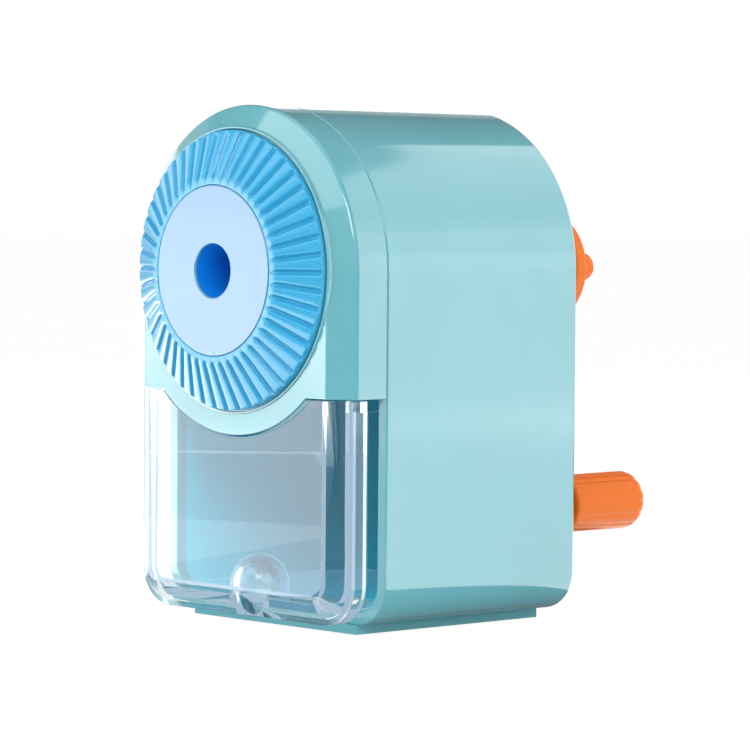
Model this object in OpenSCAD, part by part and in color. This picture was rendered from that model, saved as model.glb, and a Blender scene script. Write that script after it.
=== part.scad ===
// Desktop pencil sharpener with a hand crank.
// X is across the body, Y runs from the dial (front, -Y) to the crank (back, +Y), Z is up.
// The origin is the centre of the resting face.

/* [Body] */
// Width of the body; the arch over the dial has half of this as its radius
body_w = 68; // [67:0.5:72]
// Height of the common axis of the dial, the pencil and the crank
axis_z = 74; // [74:0.5:80]
// Length of the body shell, from the seam to the back
shell_len = 54.5; // [54.5:0.5:60]
// Depth of the front cover, from its face to the seam
cover_depth = 11.7; // [11.5:0.1:12.5]
// Wall thickness of the shell and the cover
wall = 2.6; // [2.4:0.1:2.8]
// Radius of the two lower corners of the body
corner_r = 8.5; // [7.5:0.5:10]

/* [Front edge] */
// Width of the chamfer around the front, seen from the front
chamfer_w = 5.46; // [4.5:0.1:5.6]
// Depth of the same chamfer, seen from the side
chamfer_y = 3.4; // [3:0.1:4]

/* [Dial] */
// Outer radius of the ribbed ring
dial_r = 28.7; // [28.4:0.1:29.5]
// Radius of the smooth disc in the middle
disc_r = 17.65; // [17.4:0.05:18.5]
// Height of the disc over the cover's face
dial_rise = 5.7; // [5.3:0.1:6.2]
// Radius of the hole that the pencil goes in
hole_r = 5.5; // [5.2:0.1:5.8]
// Number of ribs
rib_count = 48; // [36:4:60]

/* [Chuck] */
// Turn of the dial from open to closed, in degrees
dial_turn = 60; // [40:5:70]
// Radial travel of a jaw over that turn
jaw_travel = 2.6; // [2:0.1:2.8]
// Radius between the jaws when they are open
jaw_open_r = 5; // [4.8:0.1:5.2]

/* [Cutter] */
// Radius of the helical cutter
cutter_r = 6; // [5.8:0.1:6]
// Half of the point angle that is cut on the pencil, in degrees
point_half_angle = 11; // [10.5:0.5:11.5]
// Number of cutting edges
flute_count = 14; // [10:2:18]

/* [Crank] */
// Distance from the crank's axis to the knob's axis
crank_len = 52.8; // [48:0.2:54]
// Radius of the crank's domed hub
hub_r = 12.3; // [11:0.1:13]
// Radius of the knob
knob_r = 6.5; // [6:0.1:7]
// Length of the knob
knob_len = 22.5; // [20:0.5:26]

/* [Hidden] */
$fn = 96;

// Clearances
gap = 0.3;
slide_gap = 0.2;
run_gap = 0.1;
eps = 0.01;

// Places along Y
y_back = 28.8;
y_seam = y_back - shell_len;
y_front = y_seam - cover_depth;
y_cover_in = y_front + 2.4;
y_disc = y_front - dial_rise;
y_ring_back = y_front - gap;
y_wall_in = y_back - wall;

// Body and base
half_w = body_w / 2;
half_in = half_w - wall;
base_z = 0.4;
body_z = 2.4;
floor_z = body_z + wall;
base_w = 51;
base_len = 51.8;
pad_w = 34;
pad_len = 46;
pad_t = 1.2;
pad_groove_at = 12;
pad_groove_step = 4;
pad_groove_w = 1;
pad_groove_depth = 0.4;
base_screw_at = 20.5;
base_screw_r = 1.1;
base_head_r = 2.2;
base_head_t = 0.9;

// Lower edge of the cover: straight at the sides, round under the dial
cover_low = 48.7;
skirt_r = 33.8;
lip_t = 1.4;
lip_len = 2;

// Long screws through cover, chuck plate and gear case, and their bosses
long_screw_at = 26;
long_screw_r = 1.4;
long_head_r = 2.3;
long_head_t = 1.5;
long_boss_r = 2.7;
long_angles = [45, 135, 225, 315];

// Dial hub, retainer and cam plate
hub_out_r = 16;
hub_in_r = 14;
dial_face_t = 2;
dial_rim_h = 1.2;
guide_tube_r = 7.3;
hole_chamfer = 0.6;
retainer_r = 19.5;
y_retainer = y_cover_in + slide_gap;
y_cam = y_retainer + 1.5;
cam_t = 2.3;
cam_r = 17;
cam_hole_r = 6.2;
groove_w = 1.1;
groove_depth = 1.1;

// Chuck plate, jaws and cam slots
y_chuck = y_cam + cam_t + 0.4;
chuck_t = 4.9;
chuck_r = 22;
chuck_back_t = 1.2;
ear_w = 4.4;
tube_r = 5.5;
tube_in_r = 4.4;
jaw_w = 4.8;
jaw_len = 10;
jaw_t = 3.3;
jaw_nose_w = 2.4;
jaw_pin_r = 1.2;
jaw_pin_at = jaw_open_r + 6.5;
jaw_pin_len = 2.2;
jaw_angles = [90, 210, 330];
slot_half_w = jaw_pin_r + 0.15;
slot_run_on = 4;
slot_steps = 16;

// Gear pair: fixed internal ring and the cutter's pinion
gear_module = 1;
ring_teeth = 38;
pinion_teeth = 12;
addendum = 0.8;
dedendum = 1.25;
tooth_base = 1.9;
tooth_tip = 0.55;
ring_out_r = 22.6;
ring_face = 4.6;
pinion_face = 2.4;
centre_distance = gear_module * (ring_teeth - pinion_teeth) / 2;
y_pinion = -20;

// The cutter's axis leans towards the pencil's point; s runs along it from the plane of the point
point_offset = cutter_r / cos(point_half_angle);
y_point = y_pinion + (centre_distance - point_offset) / tan(point_half_angle);
s_pinion = (y_pinion - y_point) / cos(point_half_angle);
s_cutter_front = -23;
s_cutter_back = 1;
cutter_root = 5.1;
cutter_twist = 70;
axle_r = 1.5;
pinion_hub_r = 3.4;

// Carrier
y_carrier = y_chuck + chuck_t + 0.4;
y_tube = y_chuck + chuck_t - chuck_back_t + gap;
carrier_front_t = 2.4;
carrier_front_r = 17.5;
y_carrier_back = 18.2;
carrier_back_t = 2.8;
carrier_back_r = 15.5;
carrier_hub_r = 6.5;
y_carrier_end = 24;
carrier_bar_at = 12.6;
carrier_bar_r = 2.4;
carrier_bar_angles = [205, 270, 335];
y_tube_end = -9.4;

// Gear case
case_r = 25;
case_shell_r = 21.2;
case_shell_in = 19.7;
y_case_seat = y_pinion + ring_face / 2;
seat_t = 2;
case_back_t = 1.8;
shaft_hole_r = 3.4;

// Rear cap, its screws and the bush
cap_flange_r = 20;
cap_flange_t = 4;
cap_neck_r = 12;
cap_nose_r = 9;
y_cap_end = y_back + 17.7;
cap_wall = 2.4;
rear_screw_at = 15.5;
rear_screw_r = 1.3;
rear_head_r = 2.4;
rear_head_t = 1.5;
rear_boss_r = 3;
rear_angles = [30, 150, 270];
bush_r = 5;
bush_len = 8;

// Shaft
shaft_r = 3;
run_fit = 0.05;
y_shaft = 21.2;
thread_r = 1.9;
flat_at = 2.3;
clip_r = 4.6;
clip_t = 0.8;
clip_groove_r = 2.4;
clip_slot_w = 3.2;

// Crank
y_sleeve = y_cap_end + gap;
y_hub = y_back + 21.8;
y_hub_rim = y_back + 24.8;
hub_dome = 4.5;
sleeve_r = 8;
arm_t = 5;
arm_top_w = 9.6;
arm_low_w = 9;
knob_boss_r = 5.4;
crank_tip_r = 3.2;
y_crank_tip = y_back + 37.8;
y_thread_end = y_crank_tip - 2.6;

// Knob and its pin
knob_z = axis_z - crank_len;
y_knob = y_hub + arm_t + 2.5;
knob_round = 3;
knob_flutes = 10;
flute_r = 1.3;
flute_depth = 0.35;
pin_r = 2;
pin_head_r = 3.3;
pin_head_t = 1.4;
pin_sink = 3;

// Drawer
drawer_half_w = 33;
drawer_z = 2.8;
drawer_top = cover_low - 0.4;
drawer_flange = 7.2;
tray_half_w = half_in - gap;
tray_z = floor_z + gap;
tray_top = 46;
y_tray_back = 22;
drawer_wall = 2;
scallop_r = skirt_r + 0.4;
pocket_back = 8.7;
pocket_r = 4.5;
pocket_wall = 1.7;
pocket_dome_z = 9.2;

// Colours
teal = [0.62, 0.84, 0.86];
rib_blue = [0.40, 0.70, 0.90];
pale_blue = [0.74, 0.88, 0.96];
orange = [0.95, 0.50, 0.22];
clear = [0.80, 0.90, 0.94, 0.45];
white_plastic = [0.90, 0.91, 0.90];
steel = [0.70, 0.71, 0.73];
dark_steel = [0.42, 0.43, 0.45];
bronze = [0.72, 0.55, 0.34];
rubber = [0.20, 0.21, 0.22];

// ---- shared shapes ----

// Extrudes an outline given in X and Z from y0 to y1
module slab(y0, y1) {
    translate([0, y1, 0]) rotate([90, 0, 0]) linear_extrude(y1 - y0) children();
}

// Turns an outline given in radius and Y about the common axis
module turned() {
    translate([0, 0, axis_z]) rotate([-90, 0, 0]) rotate_extrude() children();
}

// Round bar on the common axis, or beside it at a radius and an angle seen from the front
module bar(y0, y1, r, at = 0, angle = 0) {
    translate([at * cos(angle), y0, axis_z + at * sin(angle)])
        rotate([-90, 0, 0]) cylinder(h = y1 - y0, r = r);
}

// Tube on the common axis
module tube(y0, y1, r_out, r_in) {
    difference() {
        bar(y0, y1, r_out);
        bar(y0 - 1, y1 + 1, r_in);
    }
}

// Rectangle with two round lower corners
module tub_2d(half, bottom, top, r) {
    translate([-half, bottom + r]) square([2 * half, top - bottom - r]);
    translate([r - half, bottom]) square([2 * (half - r), r + 1]);
    for (side = [-1, 1])
        translate([side * (half - r), bottom + r]) circle(r = r);
}

// The body's outline: a tub with an arch on top
module arch_2d(half, bottom, r) {
    tub_2d(half, bottom, axis_z, r);
    translate([0, axis_z]) circle(r = half);
}

// Arch without a bottom, chamfered at the front
module chamfered_arch(half, y0, y1, ch_w, ch_y, low) {
    intersection() {
        turned() polygon([[0, y0], [half - ch_w, y0], [half, y0 + ch_y], [half, y1], [0, y1]]);
        translate([-half - 1, y0 - 1, axis_z]) cube([2 * half + 2, y1 - y0 + 2, half + 2]);
    }
    translate([0, 0, low]) linear_extrude(axis_z - low)
        polygon([[ch_w - half, y0], [half - ch_w, y0], [half, y0 + ch_y],
                 [half, y1], [-half, y1], [-half, y0 + ch_y]]);
}

// Screw along Y with its head at y0
module screw_y(y0, y1, r, head_r, head_t, at, angle) {
    difference() {
        bar(y0, y0 + head_t, head_r, at, angle);
        translate([at * cos(angle), y0, axis_z + at * sin(angle)])
            for (turn = [0, 90]) rotate([0, turn, 0]) cube([2.4, 1.2, 0.5], center = true);
    }
    bar(y0 + head_t, y1, r, at, angle);
}

// Puts something on the cutter's own axis, with +Z along it and the pencil's point plane at 0
module on_cutter_axis() {
    translate([0, y_point, axis_z + point_offset]) rotate([-90 - point_half_angle, 0, 0]) children();
}

// Outline of a gear tooth pointing along +X, from the root to the tip
module tooth_2d(root, tip) {
    polygon([[root, -tooth_base / 2], [tip, -tooth_tip / 2], [tip, tooth_tip / 2], [root, tooth_base / 2]]);
}

// ---- housing ----

module body_shell() color(teal) difference() {
    slab(y_seam, y_back) arch_2d(half_w, body_z, corner_r);
    slab(y_seam - 1, y_wall_in) arch_2d(half_in, floor_z, corner_r - wall);
    bar(y_wall_in - 1, y_back + 1, shaft_r + 3);
    for (a = rear_angles) bar(y_wall_in - 1, y_back + 1, rear_screw_r, rear_screw_at, a);
    for (x = [-1, 1], y = [-1, 1])
        translate([x * base_screw_at, y * base_screw_at, body_z - 1]) cylinder(h = wall + 2, r = base_screw_r);
    translate([0, y_front + pocket_back, body_z - 1]) cylinder(h = wall + 2, r = pocket_r + 1);
}

module front_cover() color(teal) difference() {
    union() {
        difference() {
            chamfered_arch(half_w, y_front, y_seam, chamfer_w, chamfer_y, cover_low);
            chamfered_arch(half_in, y_cover_in, y_seam + 1, chamfer_w - 0.8, chamfer_y - 0.5, cover_low - 1);
        }
        cover_skirt();
        cover_lip();
        for (a = long_angles) bar(y_cover_in, y_chuck, long_boss_r, long_screw_at, a);
    }
    bar(y_front - 1, y_chuck, hub_out_r + run_gap);
    for (a = long_angles) {
        bar(y_front - 1, y_chuck + 1, long_screw_r, long_screw_at, a);
        bar(y_front - 1, y_front + long_head_t, long_head_r, long_screw_at, a);
    }
}

// Round part of the cover that hangs below its straight lower edge
module cover_skirt() {
    intersection() {
        union() {
            bar(y_front, y_cover_in, skirt_r);
            tube(y_front, y_cover_in + 0.8, skirt_r, skirt_r - wall);
        }
        translate([-half_w, y_front - 1, cover_low + 1 - half_w]) cube([body_w, cover_depth, half_w]);
    }
}

// Lip that centres the cover in the shell
module cover_lip() {
    half = half_in - run_gap;
    difference() {
        union() {
            chamfered_arch(half, y_seam - lip_len, y_seam + lip_len, eps, eps, cover_low + 0.5);
            chamfered_arch(half + wall / 2, y_seam - lip_len, y_seam - lip_len / 2, eps, eps, cover_low + 0.5);
        }
        chamfered_arch(half - lip_t, y_seam - lip_len - 1, y_seam + lip_len + 1, eps, eps, cover_low - 1);
    }
}

module base_plate() color(teal) difference() {
    translate([-base_w / 2, -base_len / 2, base_z]) cube([base_w, base_len, body_z - base_z]);
    translate([-pad_w / 2, -pad_len / 2, base_z - 1]) cube([pad_w, pad_len, 1 + pad_t - base_z]);
    for (x = [-1, 1], y = [-1, 1]) translate([x * base_screw_at, y * base_screw_at, 0]) {
        cylinder(h = body_z + 1, r = base_screw_r);
        cylinder(h = base_z + base_head_t, r = base_head_r);
    }
}

// Rubber pad with three grooves across each end and a smooth middle
module anti_slip_pad() color(rubber) difference() {
    translate([-pad_w / 2, -pad_len / 2, 0]) cube([pad_w, pad_len, pad_t]);
    for (end = [-1, 1], k = [0:2])
        translate([-pad_w / 2 - 1, end * (pad_groove_at + k * pad_groove_step) - pad_groove_w / 2, -1])
            cube([pad_w + 2, pad_groove_w, 1 + pad_groove_depth]);
}

module base_screws() color(steel)
    for (x = [-1, 1], y = [-1, 1]) translate([x * base_screw_at, y * base_screw_at, base_z]) {
        difference() {
            cylinder(h = base_head_t, r = base_head_r);
            for (turn = [0, 90]) rotate([0, 0, turn]) cube([2.4, 0.5, 1], center = true);
        }
        cylinder(h = floor_z - base_z - gap, r = base_screw_r);
    }

module cover_screws() color(steel) for (a = long_angles)
    screw_y(y_front, y_case_seat + 1, long_screw_r, long_head_r, long_head_t, long_screw_at, a);

// Frame of the mechanism, open below so that the shavings fall into the drawer
module gear_case() color(white_plastic) difference() {
    union() {
        tube(y_chuck + chuck_t, y_case_seat + seat_t, case_r, case_shell_in);
        for (a = long_angles) bar(y_chuck + chuck_t, y_case_seat + seat_t, long_boss_r, long_screw_at, a);
        intersection() {
            tube(y_case_seat + seat_t, y_wall_in, case_shell_r, case_shell_in);
            translate([-case_r, y_case_seat, axis_z - 6]) cube([2 * case_r, y_wall_in - y_case_seat, case_r + 6]);
        }
        tube(y_wall_in - case_back_t, y_wall_in, case_shell_r, shaft_hole_r);
        for (a = rear_angles) bar(y_wall_in - case_back_t - 2.6, y_wall_in, rear_boss_r, rear_screw_at, a);
    }
    bar(y_chuck, y_case_seat, ring_out_r);
    for (a = long_angles) bar(y_chuck, y_case_seat + 1, long_screw_r, long_screw_at, a);
    for (a = rear_angles) bar(y_wall_in - case_back_t - 2, y_wall_in + 1, rear_screw_r, rear_screw_at, a);
}

module ring_gear() color(white_plastic) slab(y_case_seat - ring_face, y_case_seat) translate([0, axis_z]) {
    root_r = gear_module * ring_teeth / 2 + dedendum;
    tip_r = gear_module * ring_teeth / 2 - addendum;
    difference() {
        circle(r = ring_out_r);
        circle(r = root_r);
    }
    for (k = [0:ring_teeth - 1])
        rotate(90 + (k + 0.5) * 360 / ring_teeth) tooth_2d(root_r + 0.3, tip_r);
}

module chuck_outline_2d() {
    difference() {
        union() {
            circle(r = chuck_r);
            for (a = long_angles) rotate(a) {
                translate([0, -ear_w / 2]) square([long_screw_at, ear_w]);
                translate([long_screw_at, 0]) circle(r = long_boss_r);
            }
        }
        circle(r = tube_r + run_gap);
        for (a = long_angles) rotate(a) translate([long_screw_at, 0]) circle(r = long_screw_r);
    }
}

module jaw_channels_2d() {
    for (a = jaw_angles) rotate(a)
        translate([0, -jaw_w / 2 - slide_gap]) square([jaw_open_r + jaw_len + 1, jaw_w + 2 * slide_gap]);
}

// Plate that guides the three jaws; the carrier's tube turns in its middle
module chuck_plate() color(white_plastic) {
    y_floor = y_chuck + chuck_t - chuck_back_t;
    slab(y_chuck, y_floor) translate([0, axis_z]) difference() {
        chuck_outline_2d();
        jaw_channels_2d();
    }
    slab(y_floor, y_chuck + chuck_t) translate([0, axis_z]) chuck_outline_2d();
}

module rear_cap() color(teal) difference() {
    turned() polygon([[shaft_hole_r, y_back], [cap_flange_r, y_back], [cap_flange_r, y_back + cap_flange_t - 1],
                      [cap_flange_r - 1, y_back + cap_flange_t], [cap_neck_r, y_back + cap_flange_t],
                      [cap_nose_r, y_cap_end - 0.6], [cap_nose_r - 0.6, y_cap_end], [shaft_hole_r, y_cap_end]]);
    bar(y_back - 1, y_cap_end - bush_len - 2, cap_nose_r - cap_wall);
    bar(y_back, y_cap_end + 1, bush_r);
    for (a = rear_angles) {
        bar(y_back - 1, y_back + cap_flange_t + 1, rear_screw_r, rear_screw_at, a);
        bar(y_back + cap_flange_t - rear_head_t, y_cap_end, rear_head_r, rear_screw_at, a);
    }
}

module rear_screws() color(steel) for (a = rear_angles) {
    top = y_back + cap_flange_t;
    mirror([0, 1, 0]) screw_y(-top, case_back_t + 1.6 - y_wall_in, rear_screw_r,
                              rear_head_r, rear_head_t, rear_screw_at, a);
}

module rear_bush() color(bronze) tube(y_cap_end - bush_len, y_cap_end, bush_r, shaft_r + run_fit);

// ---- dial ----

module dial_ring() color(rib_blue) difference() {
    turned() polygon([[hub_in_r, y_cam], [hub_out_r, y_cam], [hub_out_r, y_ring_back - 1.6],
                      [dial_r - 2.2, y_ring_back], [dial_r, y_ring_back], [dial_r, y_ring_back - dial_rim_h],
                      [disc_r, y_disc], [disc_r - 0.2, y_disc], [disc_r - 0.2, y_disc + dial_face_t],
                      [hub_in_r, y_disc + dial_face_t]]);
    slope = atan2(dial_rise - gap - dial_rim_h, dial_r - disc_r);
    for (k = [0:rib_count - 1])
        translate([0, 0, axis_z]) rotate([0, k * 360 / rib_count, 0])
            translate([disc_r + 0.8, y_disc + 0.35, 0]) rotate([0, 0, slope])
                translate([0, -groove_depth, -groove_w / 2]) cube([dial_r, 2 * groove_depth, groove_w]);
}

// Pale disc with the chamfered mouth of the pencil hole, and a seat behind it for the guide tube
module dial_face() color(pale_blue) turned()
    polygon([[hole_r + hole_chamfer, y_disc], [disc_r - 0.2, y_disc], [disc_r - 0.2, y_disc + dial_face_t],
             [guide_tube_r, y_disc + dial_face_t], [guide_tube_r, y_disc + hole_chamfer],
             [hole_r, y_disc + hole_chamfer]]);

// Tube that leads the pencil from the disc to the cam plate
module guide_tube() color(rib_blue) tube(y_disc + hole_chamfer, y_cam - run_gap, guide_tube_r, hole_r);

module dial_retainer() color(white_plastic) tube(y_retainer, y_cam, retainer_r, hub_out_r);

// Radius of a cam slot's middle at an angle, counted back from the open jaw
function cam_at(a) = jaw_pin_at - jaw_travel * a / dial_turn;

module cam_slot_2d() {
    steps = [for (k = [0:slot_steps]) -slot_run_on + k * (dial_turn + 2 * slot_run_on) / slot_steps];
    outer = [for (a = steps) (cam_at(a) + slot_half_w) * [cos(a), sin(a)]];
    inner = [for (a = steps) (cam_at(a) - slot_half_w) * [cos(a), sin(a)]];
    polygon(concat(outer, [for (k = [slot_steps:-1:0]) inner[k]]));
    for (a = [steps[0], steps[slot_steps]]) rotate(a) translate([cam_at(a), 0]) circle(r = slot_half_w);
}

// Plate behind the dial whose spiral slots move the jaws
module cam_plate() color(rib_blue) {
    slab(y_cam, y_cam + cam_t) translate([0, axis_z]) difference() {
        circle(r = cam_r);
        circle(r = cam_hole_r);
        for (a = jaw_angles) rotate(a) cam_slot_2d();
    }
    tube(y_cam - 2, y_cam, hub_in_r, hub_in_r - 1.4);
}

// ---- jaws ----

module jaw(angle) color(dark_steel) translate([0, 0, axis_z]) rotate([0, -angle, 0]) {
    translate([0, y_chuck + chuck_t - chuck_back_t - slide_gap, 0]) rotate([90, 0, 0]) linear_extrude(jaw_t)
        polygon([[jaw_open_r, -jaw_nose_w / 2], [jaw_open_r + 2, -jaw_w / 2], [jaw_open_r + jaw_len, -jaw_w / 2],
                 [jaw_open_r + jaw_len, jaw_w / 2], [jaw_open_r + 2, jaw_w / 2], [jaw_open_r, jaw_nose_w / 2]]);
    translate([jaw_pin_at, y_chuck + chuck_t - chuck_back_t - slide_gap - jaw_t, 0])
        rotate([90, 0, 0]) cylinder(h = jaw_pin_len, r = jaw_pin_r);
}
module jaw_1() jaw(jaw_angles[0]);
module jaw_2() jaw(jaw_angles[1]);
module jaw_3() jaw(jaw_angles[2]);

// ---- crank, carrier and cutter ----

module cutter_carrier() color(dark_steel) difference() {
    union() {
        bar(y_tube, y_tube_end, tube_r);
        bar(y_carrier, y_carrier + carrier_front_t, carrier_front_r);
        for (a = carrier_bar_angles) bar(y_carrier, y_carrier_back, carrier_bar_r, carrier_bar_at, a);
        bar(y_carrier_back, y_carrier_back + carrier_back_t, carrier_back_r);
        bar(y_carrier_back, y_carrier_end, carrier_hub_r);
    }
    bar(y_chuck, y_tube_end + 1, tube_in_r);
    bar(y_shaft, y_carrier_end + 1, shaft_r);
    on_cutter_axis() translate([0, 0, -60]) cylinder(h = 120, r = axle_r);
}

module cutter_axle() color(steel) intersection() {
    on_cutter_axis() translate([0, 0, -60]) cylinder(h = 120, r = axle_r);
    translate([-5, y_carrier, axis_z]) cube([10, y_carrier_back + carrier_back_t - y_carrier, 30]);
}

module helical_cutter() color(steel) on_cutter_axis() difference() {
    translate([0, 0, s_cutter_front])
        linear_extrude(height = s_cutter_back - s_cutter_front, twist = cutter_twist, slices = 20)
            polygon([for (k = [0:flute_count - 1], p = [[0, cutter_r], [0.16, cutter_r], [0.5, cutter_root]])
                     p[1] * [cos((k + p[0]) * 360 / flute_count), sin((k + p[0]) * 360 / flute_count)]]);
    translate([0, 0, s_cutter_front - 1])
        cylinder(h = s_cutter_back - s_cutter_front + 2, r = axle_r + run_fit);
}

module cutter_pinion() color(dark_steel) on_cutter_axis() difference() {
    union() {
        translate([0, 0, s_pinion - pinion_face / 2]) linear_extrude(pinion_face) {
            root_r = gear_module * pinion_teeth / 2 - dedendum;
            circle(r = root_r);
            for (k = [0:pinion_teeth - 1]) rotate(-90 + k * 360 / pinion_teeth)
                tooth_2d(root_r - 0.3, gear_module * pinion_teeth / 2 + addendum);
        }
        translate([0, 0, s_pinion]) cylinder(h = s_cutter_front - s_pinion, r = pinion_hub_r);
    }
    translate([0, 0, s_pinion - 5]) cylinder(h = 30, r = axle_r + run_fit);
}

module drive_shaft() color(steel) difference() {
    union() {
        bar(y_shaft, y_hub_rim, shaft_r);
        bar(y_hub_rim, y_thread_end, thread_r);
    }
    translate([flat_at, y_sleeve, axis_z - 5]) cube([5, y_hub_rim - y_sleeve + eps, 10]);
    tube(y_cap_end - bush_len - clip_t - run_gap, y_cap_end - bush_len - run_gap, shaft_r + 1, clip_groove_r);
}

module shaft_clip() color(dark_steel) difference() {
    tube(y_cap_end - bush_len - clip_t - run_gap, y_cap_end - bush_len - run_gap, clip_r, clip_groove_r);
    translate([-clip_slot_w / 2, y_back, axis_z - 10]) cube([clip_slot_w, 20, 10]);
}

module crank_arm() color(orange) difference() {
    union() {
        turned() polygon([[0, y_sleeve], [sleeve_r, y_sleeve], [sleeve_r, y_hub], [hub_r, y_hub],
                          [hub_r, y_hub_rim], [hub_r - 0.9, y_hub_rim + 0.5], [hub_r - 3, y_hub_rim + 2.2],
                          [hub_r - 6, y_hub_rim + 3.6], [hub_r - 8.6, y_hub_rim + hub_dome],
                          [0, y_hub_rim + hub_dome]]);
        slab(y_hub, y_hub + arm_t) polygon([[-arm_low_w / 2, knob_z], [arm_low_w / 2, knob_z],
                                            [arm_top_w / 2, axis_z], [-arm_top_w / 2, axis_z]]);
        translate([0, 0, -crank_len]) bar(y_hub, y_hub + arm_t + 1.6, knob_boss_r);
    }
    difference() {
        bar(y_sleeve - 1, y_hub_rim, shaft_r);
        translate([flat_at, y_sleeve - 2, axis_z - 5]) cube([5, 30, 10]);
    }
    bar(y_hub_rim - 1, y_hub_rim + 10, thread_r);
    translate([0, 0, -crank_len]) bar(y_hub - 1, y_knob, pin_r);
}

// Domed nut that holds the crank on the shaft
module crank_cap() color(orange) difference() {
    turned() polygon(concat([[0, y_hub_rim + hub_dome], [crank_tip_r, y_hub_rim + hub_dome]],
                            [for (a = [0:15:90]) [crank_tip_r * cos(a), y_crank_tip - 2 + 2 * sin(a)]]));
    bar(y_hub_rim, y_thread_end, thread_r);
}

module knob_pin() color(steel) translate([0, 0, -crank_len]) {
    bar(y_hub, y_knob + knob_len - pin_sink, pin_r);
    bar(y_knob + knob_len - pin_sink, y_knob + knob_len - pin_sink + pin_head_t, pin_head_r);
}

module crank_knob() color(orange) translate([0, 0, -crank_len]) difference() {
    turned() polygon(concat([[0, y_knob], [knob_r - 0.5, y_knob], [knob_r, y_knob + 0.5]],
                            [for (a = [0:15:90]) [knob_r - knob_round + knob_round * cos(a),
                                                  y_knob + knob_len - knob_round + knob_round * sin(a)]],
                            [[0, y_knob + knob_len]]));
    for (k = [0:knob_flutes - 1])
        bar(y_knob + 2, y_knob + knob_len + 1, flute_r, knob_r + flute_r - flute_depth, k * 360 / knob_flutes);
    bar(y_knob - 1, y_knob + knob_len, pin_r + run_fit);
    bar(y_knob + knob_len - pin_sink - slide_gap, y_knob + knob_len + 1, pin_head_r + slide_gap);
}

// ---- drawer ----

module drawer_outside() {
    hull() {
        slab(y_front, y_front + eps)
            tub_2d(drawer_half_w - chamfer_w, drawer_z + chamfer_w, drawer_top, corner_r - chamfer_w + 1, $fn = 32);
        slab(y_front + chamfer_y, y_front + drawer_flange)
            tub_2d(drawer_half_w, drawer_z, drawer_top, corner_r, $fn = 32);
    }
    slab(y_front + drawer_flange, y_tray_back) tub_2d(tray_half_w, tray_z, tray_top, corner_r - wall);
}

// The front is hollowed parallel to its chamfer, the tray behind it is hollowed straight
module drawer_inside() {
    slope = chamfer_y / chamfer_w;
    inset = chamfer_w + drawer_wall * (norm([1, slope]) - 1) / slope;
    hull() {
        slab(y_front + drawer_wall, y_front + drawer_wall + eps)
            tub_2d(drawer_half_w - inset, drawer_z + inset, drawer_top + 1, corner_r - inset, $fn = 32);
        slab(y_front + drawer_wall + (inset - drawer_wall) * slope, y_front + drawer_flange - drawer_wall)
            tub_2d(drawer_half_w - drawer_wall, drawer_z + drawer_wall, drawer_top + 1, corner_r - drawer_wall,
                   $fn = 32);
    }
    slab(y_front + drawer_flange - drawer_wall - eps, y_tray_back - drawer_wall)
        tub_2d(tray_half_w - drawer_wall, tray_z + drawer_wall, drawer_top + 1, corner_r - wall - drawer_wall,
               $fn = 32);
}

// Domed recess in the drawer's underside for a finger
module finger_pocket(r, z) {
    translate([0, y_front + pocket_back, z]) cylinder(h = pocket_dome_z - z, r = r);
    translate([0, y_front + pocket_back, pocket_dome_z]) sphere(r = r);
}

module shavings_drawer() color(clear) difference() {
    union() {
        difference() {
            drawer_outside();
            drawer_inside();
            bar(y_front - 1, y_tray_back + 1, scallop_r);
        }
        finger_pocket(pocket_r + pocket_wall, tray_z);
        intersection() {
            finger_pocket(pocket_r + pocket_wall, drawer_z + 1);
            drawer_outside();
        }
    }
    finger_pocket(pocket_r, 0);
}

body_shell();
front_cover();
base_plate();
anti_slip_pad();
base_screws();
cover_screws();
gear_case();
ring_gear();
chuck_plate();
rear_cap();
rear_screws();
rear_bush();
dial_ring();
dial_face();
guide_tube();
dial_retainer();
cam_plate();
jaw_1();
jaw_2();
jaw_3();
cutter_carrier();
cutter_axle();
helical_cutter();
cutter_pinion();
drive_shaft();
shaft_clip();
crank_arm();
crank_cap();
knob_pin();
crank_knob();
shavings_drawer();
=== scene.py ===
import math

import bmesh
import bpy
from mathutils import Matrix, Vector


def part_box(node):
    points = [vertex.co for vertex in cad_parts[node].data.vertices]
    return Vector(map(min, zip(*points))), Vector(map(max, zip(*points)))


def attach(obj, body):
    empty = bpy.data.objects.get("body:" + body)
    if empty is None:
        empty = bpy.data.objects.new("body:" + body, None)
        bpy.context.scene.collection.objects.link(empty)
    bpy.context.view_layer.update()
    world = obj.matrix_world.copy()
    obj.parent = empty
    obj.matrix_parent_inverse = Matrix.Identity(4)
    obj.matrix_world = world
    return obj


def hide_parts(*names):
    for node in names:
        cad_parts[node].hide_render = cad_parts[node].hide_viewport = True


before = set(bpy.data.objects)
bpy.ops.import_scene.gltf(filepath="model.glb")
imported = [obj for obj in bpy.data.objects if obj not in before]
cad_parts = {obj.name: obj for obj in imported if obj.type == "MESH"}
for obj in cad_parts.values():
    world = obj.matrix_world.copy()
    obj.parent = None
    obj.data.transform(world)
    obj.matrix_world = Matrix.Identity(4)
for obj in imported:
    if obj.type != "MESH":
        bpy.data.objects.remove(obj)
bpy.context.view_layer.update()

MM = 0.001

# ---------------------------------------------------------------- sizes from the frame

shell_low, shell_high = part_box("body_shell")
cover_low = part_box("front_cover")[0]
ring_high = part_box("dial_ring")[1]
face_low, face_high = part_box("dial_face")
drawer_low, drawer_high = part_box("shavings_drawer")
crank_low, crank_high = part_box("crank_arm")
cap_low, cap_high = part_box("crank_cap")
knob_low, knob_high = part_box("crank_knob")
tube_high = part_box("guide_tube")[1]

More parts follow.
